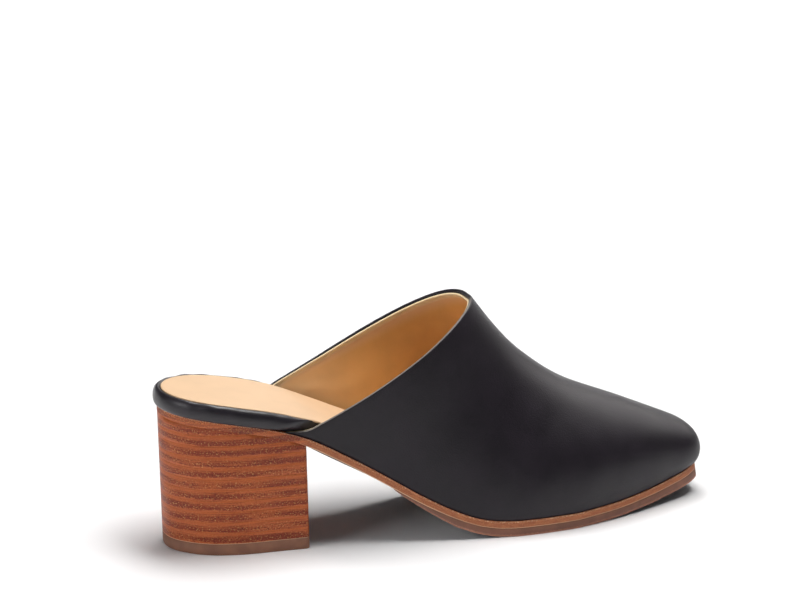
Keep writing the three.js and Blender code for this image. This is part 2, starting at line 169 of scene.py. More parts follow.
# Small sizes
GLUE_GAP = 0.05 * MM
BEAD_WIDTH = 1.6 * MM
FOLD_BEAD = 0.5 * MM
LINING_BEAD = 0.4 * MM
LINING_DROP = 0.8 * MM
CREASE_START = 3 * MM
RIM_CLEARANCE = 0.6 * MM
RIM_TUCK = 0.3 * MM
TOE_EASE = 40 * MM
PUCKER_WAVES = np.array([2.3, 7.1, 1.3]) * MM
SEAT_ARRIS = 0.04 * MM
SOLE_ARRIS = 0.25 * MM
RUBBER_ARRIS = 0.22 * MM
TOP_PIECE_ARRIS = 0.35 * MM
ARRIS_EASE = 5 * MM
ARRIS_SHARE = 0.06
JOINT = 0.12 * MM
JOINT_INSET = 0.05 * MM
TAPER_START = 6 * MM

# Stretches of the sole, from its back end: where each starts, the length over which it comes,
# where it ends and the length over which it goes. The waist ends where the rubber starts.
SHANK_STRETCH = np.array([54, 12, 130, 30]) * MM
WAIST_START, WAIST_RISE, WAIST_FALL = np.array([45, 20, 22]) * MM


def length(label, text, millimetres):
    """A size that the user can change, in metres."""
    return FloatProperty(name=label, description=text, default=millimetres * MM,
                         unit="LENGTH", precision=5)


def colour(label, text, red, green, blue):
    """A colour that the user can change, in linear light."""
    return FloatVectorProperty(name=label, description=text, subtype="COLOR", size=3,
                               min=0.0, max=1.0, default=(red, green, blue))


class MuleSizes(bpy.types.PropertyGroup):
    """Driving sizes of the shoe."""

    sole_length: length("Sole length", "From the seat's back to the toe's tip", 244.1)
    seat_width: length("Seat width", "Across the heel seat", 52)
    waist_width: length("Waist width", "Across the arch", 54)
    ball_width: length("Ball width", "Across the ball of the foot", 78)
    seat_height: length("Seat height", "Top of the leather sole at the back", 61.8)
    leather: length("Leather sole", "Thickness of the leather outsole", 3.1)
    shank_extra: length("Shank", "How much thicker the leather sole is at the arch", 0.5)
    rubber: length("Rubber sole", "Thickness of the rubber forefoot sole", 3.6)
    toe_spring: length("Toe spring", "Lift of the sole's tip", 7.5)
    waist_camber: length("Waist camber", "Roundness of the sole's underside at the arch", 2.4)
    rubber_start: length("Rubber start", "Where the rubber sole ends at the arch", 94.8)
    skive_length: length("Skive", "Length over which the rubber grows thin", 26)
    skived_edge: length("Skived edge", "Thickness of the rubber's end", 0.5)
    heel_length: length("Heel length", "Length of the heel at its top", 57)
    back_rake: length("Back rake", "How far the heel's back runs forward", 1.2)
    breast_rake: length("Breast rake", "How far the heel's breast runs forward", 1.9)
    side_taper: length("Side taper", "How far each side of the heel draws in", 1.7)
    top_piece: length("Top piece", "Thickness of the heel's rubber top piece", 5.1)
    breast_corner: length("Breast corner", "Radius of the heel's front corners", 2)
    rim_height: length("Rim height", "Height of the footbed's edge at the seat", 6.8)
    rim_overhang: length("Rim overhang", "How far the rim stands out past the sole", 1.6)
    rim_puckers: length("Rim puckers", "Height of the ripples in the rim's leather", 0.13)
    rim_end: length("Rim end", "Where the rim has gone inside the upper", 57.5)
    rim_ease: length("Rim ease", "Length over which the rim draws in", 20)
    bed_end: length("Bed end", "From the footbed's end to the sole's tip", 8)
    sock_thickness: length("Sock", "Thickness of the sock lining", 0.9)
    sock_margin: length("Sock margin", "From the rim's side to the sock's edge", 3.4)
    instep_height: length("Instep height", "Height of the collar over the sole", 91.5)
    upper_leather: length("Upper leather", "Thickness of the black leather", 1.3)
    wall: length("Wall", "Thickness of leather and lining together", 2)
    feather: length("Feather", "From the sole's edge to the upper", 0.6)
    tail_length: length("Tail", "Length of the collar's tail along the sole", 6)
    lift_count: IntProperty(name="Lifts", description="Layers of the stacked heel",
                            default=len(LIFT_NODES), min=1)


class MuleColours(bpy.types.PropertyGroup):
    """Colours of the shoe's materials."""

    black_leather: colour("Black leather", "Upper and rim", 0.0088, 0.0060, 0.0098)
    # Painted highlight: the pale line of light that the collar's folded edge catches on the outer
    # side.
    painted_fold_highlight: colour("Fold", "Worn line along the collar's folded edge", 0.27, 0.24, 0.21)
    lining: colour("Lining", "Tan leather inside the upper", 0.78, 0.405, 0.125)
    # The lining edge colour is partly the pale cut edge and partly a painted highlight of the
    # rolled edge.
    lining_edge: colour("Lining edge", "Pale cut edge of the lining", 0.93, 0.76, 0.48)
    sock: colour("Sock", "Pale leather that the foot stands on", 0.80, 0.545, 0.33)
    sole_edge: colour("Sole edge", "Stained edge of the leather sole", 0.52, 0.178, 0.068)
    # The raw edge colour also serves the sole's lower arris, where it is partly a painted
    # reflection of the floor.
    raw_edge: colour("Raw edge", "Unstained leather at cut edges", 0.78, 0.55, 0.34)
    stack_light: colour("Stack, light", "Light rows of the heel's layers", 0.54, 0.130, 0.037)
    stack_dark: colour("Stack, dark", "Dark rows of the heel's layers", 0.24, 0.036, 0.012)
    stack_fleck: colour("Stack, flecks", "Pale flecks in the heel's layers", 0.66, 0.34, 0.11)
    rubber: colour("Rubber", "Rubber of the forefoot sole", 0.235, 0.100, 0.062)
    top_rubber: colour("Top piece rubber", "Rubber under the heel", 0.30, 0.135, 0.080)
    # Painted shade: the undersides of the soles are made dark, which also darkens the floor's
    # shadow under them.
    underside: colour("Underside", "Dark wax under the leather sole", 0.030, 0.018, 0.014)


def ease(t):
    """Smooth step from 0 to 1."""
    t = np.clip(t, 0, 1)
    return t * t * (3 - 2 * t)


def stretch(x, start, rise, end, fall):
    """1 between two places along the shoe, eased to 0 over a length inside either."""
    return ease((x - start) / rise) * ease((end - x) / fall)


def mix(a, b, t):
    """Value between two others."""
    return a + (b - a) * t


def turn(share):
    """Angle of a half circle, in half turns, whose cosine gives a share of the length."""
    return np.arccos(1 - 2 * np.clip(share, 0, 1)) / np.pi


def monotone(xs, ys):
    """Cubic pieces whose slope at each point is the weighted harmonic mean of its two
    chords, so that the curve never overshoots its points."""
    xs, ys = np.asarray(xs, float), np.asarray(ys, float)
    step = np.diff(xs)
    chord = np.diff(ys) / step
    slope = np.zeros_like(ys)
    slope[0], slope[-1] = chord[0], chord[-1]
    same = chord[1:] * chord[:-1] > 0
    near = 2 * step[1:] + step[:-1]
    far = step[1:] + 2 * step[:-1]
    before = np.where(same, chord[:-1], 1)
    after = np.where(same, chord[1:], 1)
    slope[1:-1] = np.where(same, (near + far) / (near / before + far / after), 0)

    def curve(x):
        x = np.clip(x, xs[0], xs[-1])
        i = np.clip(np.searchsorted(xs, x, side="right") - 1, 0, len(step) - 1)
        t = (x - xs[i]) / step[i]
        return ((2 * t**3 - 3 * t**2 + 1) * ys[i] + (t**3 - 2 * t**2 + t) * step[i] * slope[i]
                + (3 * t**2 - 2 * t**3) * ys[i + 1] + (t**3 - t**2) * step[i] * slope[i + 1])

    return curve


def natural(values):
    """Cubic spline with free ends through evenly numbered values."""
    values = np.asarray(values, float)
    count = len(values)
    matrix = np.eye(count)
    right = np.zeros(count)
    for i in range(1, count - 1):
        matrix[i, i - 1:i + 2] = 1, 4, 1
        right[i] = 6 * (values[i + 1] - 2 * values[i] + values[i - 1])
    bend = np.linalg.solve(matrix, right)

    def curve(s):
        i = np.clip(np.floor(s).astype(int), 0, count - 2)
        a, b = i + 1 - s, s - i
        return ((bend[i] * a**3 + bend[i + 1] * b**3) / 6
                + (values[i] - bend[i] / 6) * a + (values[i + 1] - bend[i + 1] / 6) * b)

    return curve


class Last:
    """The shoe's forms as functions, from its driving sizes. Places along the shoe are
    counted from the sole's back end, and the outer side of the foot is -Y."""

    SWELL_PEAK = 3 * math.sqrt(3) / 4
    TAIL_RISE = 0.06
    COLLAR_FADE = 1.5
    BACK_STEP = 0.07 * MM

    def __init__(self, sizes):
        self.sizes = sizes
        self.length = sizes.sole_length
        widths = {"seat": sizes.seat_width, "waist": sizes.waist_width,
                  "ball": sizes.ball_width}
        knots = turn(np.array([row.along for row in OUTLINE]))
        self.outer_curve = monotone(knots, [row.outer * widths[row.width] for row in OUTLINE])
        self.inner_curve = monotone(knots, [row.inner * widths[row.width] for row in OUTLINE])
        self.shank = monotone(*SHANK.T)
        self.spring = monotone(*SPRING.T)
        self.bed_share = monotone(*FOOTBED.T)
        self.trim = monotone(*COLLAR.T)
        self.section = {name: natural([getattr(row, name) for row in SECTIONS])
                        for name in Section._fields}
        self.origin = self.origin_in_frame()

    def origin_in_frame(self):
        """The sole's back end in the frame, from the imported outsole's box."""
        low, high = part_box("outsole")
        x = np.linspace(0, self.length, 2001)
        shift = (self.inner(x).max() - self.outer(x).max()) / 2
        return np.array([low.x - self.BACK_STEP, (low.y + high.y) / 2 - shift, 0])

    def outer(self, x):
        """Half width of the sole to the outer side."""
        return self.outer_curve(turn(x / self.length))

    def inner(self, x):
        """Half width of the sole to the inner side."""
        return self.inner_curve(turn(x / self.length))

    def sole_top(self, x):
        """Height of the leather sole's upper face."""
        ball = self.sizes.leather + self.sizes.rubber
        return (ball + (self.sizes.seat_height - ball) * self.shank(x / self.length)
                + self.sizes.toe_spring * self.spring(x / self.length))

    def sole_under(self, x):
        """Height of the leather sole's lower face, which is a little lower at the shank."""
        extra = self.sizes.shank_extra * stretch(x, *SHANK_STRETCH)
        return self.sole_top(x) - self.sizes.leather - extra

    def tilt(self, x):
        """How far the sole's edge leans forward for each step down, square to the spring."""
        along = x / self.length
        rise = self.spring(along + 0.01) - self.spring(along - 0.01)
        return self.sizes.toe_spring * rise / (0.02 * self.length)

    def bed_top(self, x):
        """Height of the footbed's upper face."""
        return self.sole_top(x) + self.sizes.rim_height * self.bed_share(x / self.length)

    def outline(self, start=0.0):
        """Closed plan of the sole in front of a place: the outer side from heel to toe, then
        the inner side back, with steps that grow small at round ends."""
        share = (np.arange(PLAN_STEPS) + 0.5) / PLAN_STEPS
        if start > 0:
            share = np.arange(PLAN_STEPS) / (PLAN_STEPS - 0.5)
        x = self.length * (1 - np.cos(np.pi * mix(turn(start / self.length), 1, share))) / 2
        return np.concatenate([np.c_[x, -self.outer(x)], np.c_[x, self.inner(x)][::-1]])

    def upper(self, row, angle):
        """Outer face of the upper: row counts along the sections, and the angle runs over
        the arch from the outer side's foot (0) to the inner side's (pi). Across each
        section it is a superellipse, and its sides swell out by sin 2a (1 + cos 2a) of
        their slant a. Near the collar the sections shift so that the first ends at its
        edge, and behind the outer foot a short tail runs back along the sole."""
        sizes = self.sizes
        s = row + self.trim(angle / np.pi) * (1 - ease(row / self.COLLAR_FADE))
        at = {name: curve(s) for name, curve in self.section.items()}
        cos, sin = np.cos(angle), np.sin(angle)
        power = at["fullness"]
        radius = (np.abs(cos)**power + np.abs(sin)**power)**(-1 / power)
        side, up = radius * cos, radius * sin
        low = np.where(side > 0, np.clip(1 - up / self.TAIL_RISE, 0, 1), 0)
        tail = low**2 * np.clip(1 - row, 0, 1)**2
        foot = at["foot"] * self.length - sizes.tail_length * tail
        crest = at["crest"] * self.length
        base = self.sole_top(foot)
        peak = self.sole_top(crest) + at["height"] * sizes.instep_height
        out = self.outer(foot) - sizes.feather
        into = self.inner(foot) - sizes.feather
        middle = (into - out) / 2
        slant = np.arctan2(np.abs(up), np.abs(side))
        bulge = np.where(side > 0, at["outer_bulge"], at["inner_bulge"]) * sizes.ball_width
        swell = bulge * np.sin(2 * slant) * (1 + np.cos(2 * slant)) / self.SWELL_PEAK
        return np.stack([
            mix(foot, crest, up),
            middle - (out + into) / 2 * side - np.sign(side) * swell
            + (at["lean"] * sizes.ball_width - middle) * up,
            mix(base, peak, up),
        ], -1)


def form():
    """The shoe's forms for the sizes set in the scene."""
    return Last(bpy.context.scene.mule_sizes)


# Meshes from grids

def grid(points, uv=None, around=False):
    """A patch: rows by columns of points, their pattern coordinates, and whether the last
    column joins the first."""
    if uv is None:
        uv = np.zeros(points.shape[:2] + (2,))
    return points, uv, around


def patch_faces(rows, columns, around):
    """Corner numbers of a patch's quads."""
    numbers = np.arange(rows * columns).reshape(rows, columns)
    if around:
        numbers = np.concatenate([numbers, numbers[:, :1]], 1)
    corners = [numbers[:-1, :-1], numbers[1:, :-1], numbers[1:, 1:], numbers[:-1, 1:]]
    return np.stack(corners, -1).reshape(-1, 4)


def new_piece(name, patches, slot, material, *replaced):
    """One closed mesh from patches that share their borders, in the frame's place."""
    points, maps, faces = [], [], []
    count = 0
    for vertices, uv, around in patches:
        rows, columns = vertices.shape[:2]
        faces.append(patch_faces(rows, columns, around) + count)
        points.append(vertices.reshape(-1, 3))
        maps.append(uv.reshape(-1, 2))
        count += rows * columns
    points = np.concatenate(points) + form().origin
    faces = np.concatenate(faces)
    corner_uv = np.concatenate(maps)[faces.ravel()]
    mesh = bpy.data.meshes.new(name)
    mesh.from_pydata(points.tolist(), [], faces.tolist())
    layer = mesh.uv_layers.new(name="pattern")
    layer.data.foreach_set("uv", corner_uv.astype(np.float32).ravel())
    shape = bmesh.new()
    shape.from_mesh(mesh)
    bmesh.ops.remove_doubles(shape, verts=shape.verts, dist=WELD)
    bmesh.ops.recalc_face_normals(shape, faces=shape.faces)
    shape.to_mesh(mesh)
    shape.free()
    mesh.shade_smooth()
    mesh.validate()
    mesh.materials.append(material)
    piece = bpy.data.objects.new(name, mesh)
    bpy.context.scene.collection.objects.link(piece)
    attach(piece, "root")
    if replaced:
        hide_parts(*replaced)
    return piece


def plan_normals(plan):
    """Outward directions of a closed plan that runs with its inside on the left."""
    along = np.roll(plan, -1, 0) - np.roll(plan, 1, 0)
    outward = np.c_[along[:, 1], -along[:, 0]]
    return outward / np.linalg.norm(outward, axis=1, keepdims=True)


def edge_patch(rows, patterns):
    """Wall of a plate: rows of points round its plan, with the distance round the plan
    and each row's pattern value as its map."""
    wall = np.stack(rows)
    steps = np.linalg.norm(np.diff(wall[len(rows) // 2][:, :2], axis=0), axis=1)
    around = np.concatenate([[0], np.cumsum(steps)])
    uv = np.stack([np.c_[around, np.full_like(around, value)] for value in patterns])
    return grid(wall, uv, True)


def cap_patch(row, height, value, camber=None):
    """Face of a plate, from the outer to the inner side of one of its rows. A camber
    lowers it by 1 - (2a - 1) ^ 4 of the share a across."""
    half = len(row) // 2
    left, right = row[:half], row[half:][::-1]
    across = np.linspace(0, 1, CAP_COLUMNS)[None, :, None]
    points = mix(left[:, None], right[:, None], across)
    if height is not None:
        points[:, 1:-1, 2] = height(points[:, 1:-1, 0])
    if camber is not None:
        points[..., 2] -= camber(points[..., 0]) * (1 - (2 * across[..., 0] - 1)**4)
    uv = np.stack([points[..., 0], np.full(points.shape[:2], value)], -1)
    return grid(points, uv)


def leaned(last, patches):
    """Patches moved forward where the toe springs up, by the tilt times the depth under
    the sole's upper face, so that the edge stays square to the sole."""
    for points, _, _ in patches:
        x, z = points[..., 0], points[..., 2]
        points[..., 0] = x + last.tilt(x) * (last.sole_top(x) - z)
    return patches


def plate(plan, rows, face_heights, camber=None):
    """Patches of a plate: its wall from rows of (offset, height, pattern), where offset
    and height are functions of the place along the shoe, and its two faces, of which the
    lower one can be cambered."""
    outward = plan_normals(plan)
    wall = []
    for offset, height, _ in rows:
        moved = plan + outward * offset(plan[:, 0])[:, None]
        wall.append(np.c_[moved, height(moved[:, 0])])
    values = [row[2] for row in rows]
    return [edge_patch(wall, values),
            cap_patch(wall[0], face_heights[0], values[0], camber),
            cap_patch(wall[-1], face_heights[1], values[-1])]


# Shader nodes

def arithmetic(operation):
    """Operator of a wire that adds a Math node, and its reflected form."""

    def forward(wire, other):
        return wire.math(operation, other)

    def reflected(wire, other):
        return wire.finish.node("ShaderNodeMath", {"operation": operation}, {0: other, 1: wire})

    return forward, reflected


class Wire:
    """A node's output. Arithmetic on it adds Math nodes."""

    __add__, __radd__ = arithmetic("ADD")
    __sub__, __rsub__ = arithmetic("SUBTRACT")
    __mul__, __rmul__ = arithmetic("MULTIPLY")

    def __init__(self, finish, socket):
        self.finish = finish
        self.socket = socket

    def math(self, operation, *others):
        """Math node on this number and others."""
        sockets = dict(enumerate((self, *others)))
        return self.finish.node("ShaderNodeMath", {"operation": operation}, sockets)

    def ramp(self, low, high, to_low=0.0, to_high=1.0):
        """This number eased from one range to another."""
        return self.finish.node("ShaderNodeMapRange", {"interpolation_type": "SMOOTHSTEP"}, {
            "Value": self, "From Min": low, "From Max": high, "To Min": to_low, "To Max": to_high})


class Finish:
    """A material and its nodes."""

    def __init__(self, name):
        self.material = bpy.data.materials.new(name)
        self.material.use_nodes = True
        self.tree = self.material.node_tree
        self.tree.nodes.clear()
        self.shader = self.tree.nodes.new("ShaderNodeBsdfPrincipled")
        output = self.tree.nodes.new("ShaderNodeOutputMaterial")
        self.tree.links.new(self.shader.outputs["BSDF"], output.inputs["Surface"])

    def put(self, sockets, place, value):
        """Sets or links one socket."""
        if isinstance(value, Wire):
            self.tree.links.new(value.socket, sockets[place])
        elif sockets[place].type == "RGBA":
            sockets[place].default_value = (*value, 1.0)
        else:
            sockets[place].default_value = value

    def node(self, kind, settings=None, sockets=None, output=0):
        """Adds a node: its settings first, then its sockets' values or links."""
        made = self.tree.nodes.new(kind)
        for key, value in (settings or {}).items():
            setattr(made, key, value)
        for place, value in (sockets or {}).items():
            self.put(made.inputs, place, value)
        return Wire(self, made.outputs[output])

    def places(self):
        """Object coordinates, which are places in the frame."""
        return self.node("ShaderNodeTexCoord", output="Object")

    def axes(self, vector):
        """The three numbers of a vector."""
        split = self.node("ShaderNodeSeparateXYZ", sockets={"Vector": vector})
        return [Wire(self, socket) for socket in split.socket.node.outputs]

    def along(self):
        """Distance along the shoe from the sole's back end."""
        return self.axes(self.places())[0] - form().origin[0]

    def pattern(self):
        """The two numbers of the piece's own map."""
        return self.axes(self.node("ShaderNodeUVMap", {"uv_map": "pattern"}))[:2]

    def noise(self, vector, scale=1.0, detail=3.0, roughness=0.5):
        """Soft noise at a scale, from about 0 to 1."""
        return self.node("ShaderNodeTexNoise", sockets={
            "Vector": vector, "Scale": scale, "Detail": detail, "Roughness": roughness})

    def grain(self, x, y, detail=3.0, roughness=0.5):
        """Soft noise over two numbers, in steps of about one."""
        vector = self.node("ShaderNodeCombineXYZ", sockets={"X": x, "Y": y})
        return self.noise(vector, 1.0, detail, roughness)

    def cells(self, scale):
        """Distance to the nearest of scattered points."""
        return self.node("ShaderNodeTexVoronoi", sockets={"Vector": self.places(), "Scale": scale})

    def mixed(self, factor, first, second):
        """Colour between two colours."""
        return self.node("ShaderNodeMix", {"data_type": "RGBA"},
                         {0: factor, 6: first, 7: second}, 2)

    def clouded(self, name, shades, scale, detail):
        """A colour that drifts between two of its shades in soft clouds, and the clouds."""
        cloud = self.noise(self.places(), scale, detail)
        first, second = (tone(name, shade) for shade in shades)
        return self.mixed(cloud.ramp(0.3, 0.75), first, second), cloud

    def painted(self, tint, *layers):
        """A colour under layers of (factor, colour), from the lowest up."""
        for factor, over in layers:
            tint = self.mixed(factor, tint, over)
        return tint

    def bump(self, height, strength, distance):
        """Normal of a relief of the given depth."""
        normal = self.node("ShaderNodeBump", sockets={
            "Strength": strength, "Distance": distance, "Height": height})
        self.put(self.shader.inputs, "Normal", normal)

    def set(self, **values):
        """Sets or links the shader's sockets, named with underscores for spaces."""
        for place, value in values.items():
            self.put(self.shader.inputs, place.replace("_", " "), value)
        return self.material


def tone(name, shade=1.0):
    """A colour set in the scene, times a shade."""
    return tuple(value * shade for value in getattr(bpy.context.scene.mule_colours, name))


def black_leather():
    """Smooth black calf: a fine closed grain, gloss that varies a little, and a painted highlight
    along the folded collar edge of the outer side. The pattern is negative over the folded edge."""
    finish = Finish("black_leather")
    tint, cloud = finish.clouded("black_leather", (1.0, 1.5), 55.0, 3.0)
    pores = finish.noise(finish.places(), 3200.0, 2.0)
    finish.bump(finish.cells(1400.0) * 0.6 + pores * 0.4, 0.5, 0.16 * MM)
    # Painted highlight: a pale line where the outer side's folded collar edge catches the light.
    outer = finish.axes(finish.places())[1].ramp(-12 * MM, 0.0, 0.85, 0.0)
    painted_fold_highlight = finish.pattern()[0].ramp(-0.32 * MM, -0.6 * MM) * outer
    tint = finish.painted(tint, (painted_fold_highlight, tone("painted_fold_highlight")))
    return finish.set(Base_Color=tint, Roughness=cloud.ramp(0.2, 0.8, 0.40, 0.48),
                      Specular_IOR_Level=0.36)


def rim_leather():
    """The same calf where it wraps the footbed's rim, stretched and a little glossier."""
    finish = Finish("rim_leather")
    tint = finish.clouded("black_leather", (1.0, 1.6), 70.0, 3.0)[0]
    folds = finish.noise(finish.places(), 260.0, 3.0, 0.6)
    finish.bump(finish.cells(2600.0) * 0.3 + folds, 0.35, 0.25 * MM)
    return finish.set(Base_Color=tint, Roughness=folds.ramp(0.2, 0.8, 0.34, 0.46),
                      Specular_IOR_Level=0.5, Coat_Weight=0.2, Coat_Roughness=0.3)


def sock_leather():
    """Pale, smooth undyed leather with soft clouds and a fine nap."""
    finish = Finish("sock_leather")
    tint, cloud = finish.clouded("sock", (1.0, 0.95), 70.0, 4.0)
    nap = finish.noise(finish.places(), 2400.0)
    finish.bump(nap + cloud * 0.5, 0.25, 0.10 * MM)
    return finish.set(Base_Color=tint, Roughness=0.55, Specular_IOR_Level=0.4)


def lining_leather():
    """Tan lining inside the upper, with painted light that makes it paler towards the seat and the
    collar, and palest along its edge, where the pale cut edge runs on into a painted highlight of
    the rolled edge. The pattern counts the distance from the collar."""
    finish = Finish("lining_leather")
    tint, cloud = finish.clouded("lining", (1.0, 0.86), 60.0, 4.0)
    edge = finish.pattern()[0]
    nap = finish.noise(finish.places(), 1500.0)
    # Painted light: the lining is made paler towards the seat, and near the collar, where more
    # light reaches it.
    painted_light = finish.along().ramp(60 * MM, 110 * MM, 0.4, 0.0)
    painted_collar_light = edge.ramp(1.0 * MM, 9.0 * MM, 0.6, 0.0)
    # Partly the pale cut edge and partly a painted highlight, where the rolled edge catches the
    # light.
    pale = edge.ramp(1.3 * MM, 3.4 * MM, 0.9, 0.0)
    tint = finish.painted(tint, (painted_light.math("MAXIMUM", painted_collar_light), tone("sock")),
                          (pale, tone("lining_edge")))
    finish.bump(nap * 0.6 + cloud, 0.25, 0.12 * MM)
    return finish.set(Base_Color=tint, Roughness=cloud.ramp(0.2, 0.8, 0.5, 0.62),
                      Specular_IOR_Level=0.35)


def stack_grain(finish):
    """Colour and relief of the stack: each layer, counted by height over the floor, has a
    dark row full of fine dark and yellow specks over its joint and a lighter, smoother row
    above, and the rows waver, fade and fray. A raw line of glue runs over the lowest."""
    last = form()
    around = finish.pattern()[0]
    z = finish.axes(finish.places())[2]
    level = (z - last.sizes.top_piece) * (1 / lift_pitch(last))
    waver = finish.grain(around * 22.0, level * 0.6)
    fray = finish.grain(around * 420.0, level * 5.0, 3.0, 0.6)
    within = (level + (waver - 0.5) * 0.7 + (fray - 0.5) * 0.45).math("FRACT")
    row = within.ramp(0.0, 0.2) * within.ramp(0.4, 0.85, 1.0, 0.0)
    fade = finish.grain(around * 30.0, level.math("FLOOR") * 7.3, 2.0)
    streaks = finish.grain(around * 60.0, level * 7.0, 3.0, 0.6)
    depth = row * fade.ramp(0.3, 0.65, 0.35, 1.0) + streaks.ramp(0.38, 0.72, 0.0, 0.7)
    specks = finish.grain(around * 1250.0, level * 7.0, 2.0, 0.7)
    glue = (level + (specks - 0.5) * 0.05).ramp(0.03, 0.07, 0.7, 0.0)
    tint = finish.painted(
        tone("stack_light"), (depth.ramp(0.05, 1.2), tone("stack_dark")),
        (specks.ramp(0.56, 0.66) * (row * 0.75 + 0.2), tone("stack_dark", 0.3)),
        (specks.ramp(0.43, 0.33) * (row * 0.55 + 0.25), tone("stack_fleck")),
        (glue, tone("raw_edge")))
    return tint, specks * 0.5 + streaks * 0.5 + fray * 0.3


def sole_edge_leather():
    """Stained edge of the leather sole: fibres along it, dark and pale specks, a speckled upper
    arris, a pale line along its lower arris in front of the heel that is partly raw leather and
    partly a painted reflection of the floor, and a dark underside of painted shade. Over the heel
    it takes the stack's stain. The pattern runs from 0 below to 1 above."""
    finish = Finish("sole_edge_leather")
    sizes = form().sizes
    around, level = finish.pattern()
    along = finish.along()
    front = along.ramp(sizes.heel_length - 4 * MM, sizes.heel_length + 3 * MM)
    fibres = finish.grain(around * 260.0, level * 4.0, 4.0, 0.6)
    specks = finish.grain(around * 1900.0, level * 7.0, 2.0, 0.6)
    tint = finish.painted(tone("sole_edge"), (fibres.ramp(0.35, 0.7, 0.5, 0.0), tone("stack_dark")))
    upper = level.ramp(0.72, 0.95, 0.0, 0.8) * specks.ramp(0.50, 0.38)
    # Partly raw leather and partly a painted reflection: a pale line on the lower arris, as if lit
    # by the floor.
    lower = (level + (fibres - 0.5) * 0.12).ramp(0.08, 0.17, 1.0, 0.0)
    fore = along.ramp(sizes.rubber_start, sizes.rubber_start + 40 * MM, 0.8, 0.4)
    tint = finish.painted(
        stack_grain(finish)[0], (front, tint),
        (specks.ramp(0.56, 0.68, 0.0, 0.6), tone("sole_edge", 0.25)),
        (specks.ramp(0.42, 0.33, 0.0, 0.45), tone("stack_fleck")),
        (upper, tone("raw_edge")), (lower * front * fore, tone("raw_edge")),
        # Painted shade: the underside is made dark.
        (level.ramp(0.0, 0.03, 1.0, 0.0), tone("underside")))
    finish.bump(fibres * 0.6 + specks, 0.5, 0.2 * MM)
    return finish.set(Base_Color=tint, Roughness=fibres.ramp(0.2, 0.8, 0.55, 0.7))


def stacked_leather():
    """Waxed stack of end-grain leather layers."""
    finish = Finish("stacked_leather")
    tint, relief = stack_grain(finish)
    finish.bump(relief, 0.35, 0.12 * MM)
    gloss = finish.noise(finish.places(), 90.0, 2.0)
    return finish.set(Base_Color=tint, Roughness=gloss.ramp(0.3, 0.7, 0.42, 0.55),
                      Specular_IOR_Level=0.27, Coat_Weight=0.05, Coat_Roughness=0.35)


def brown_rubber(name, base, forefoot):
    """Matt brown rubber. The forefoot's, whose pattern runs from 0 below to 1 above, has a painted
    reflection of the floor on its lower arris, a paler copy of the rubber, and a dark underside of
    painted shade."""
    finish = Finish(name)
    tint, cloud = finish.clouded(base, (0.85, 1.15), 160.0, 4.0)
    grit = finish.noise(finish.places(), 1900.0, 2.0)
    if forefoot:
        level = finish.pattern()[1]
        # Painted reflection: the lower arris is a paler copy of the rubber, as if lit by the floor.
        painted_light = (level + (grit - 0.5) * 0.4).ramp(0.12, 0.32, 0.8, 0.0)
        tint = finish.painted(tint, (painted_light, tone(base, 2.1)),
                              # Painted shade: the underside is made dark.
                              (level.ramp(0.0, 0.03, 1.0, 0.0), tone("underside")))
    finish.bump(grit + cloud, 0.3, 0.1 * MM)
    return finish.set(Base_Color=tint, Roughness=cloud.ramp(0.2, 0.8, 0.55, 0.68))


# Pieces

def creased(last, point):
    """Depth of the creases at points of the inner side: each is exp(-a ^ 2 - l ^ 4) for
    the distance a across it and l along it, as shares of its width and length."""
    along = point[..., 0] / MM
    up = (point[..., 2] - last.sole_top(point[..., 0])) / MM
    depth = np.zeros_like(along)
    for crease in CREASES:
        slope = math.radians(crease.slope)
        x, z = along - crease.along, up - crease.up
        run = (x * math.cos(slope) + z * math.sin(slope)) / crease.length
        across = (z * math.cos(slope) - x * math.sin(slope)) / crease.width
        depth += crease.depth * MM * np.exp(-across**2 - run**4)
    return np.where(point[..., 1] > 0, depth, 0)


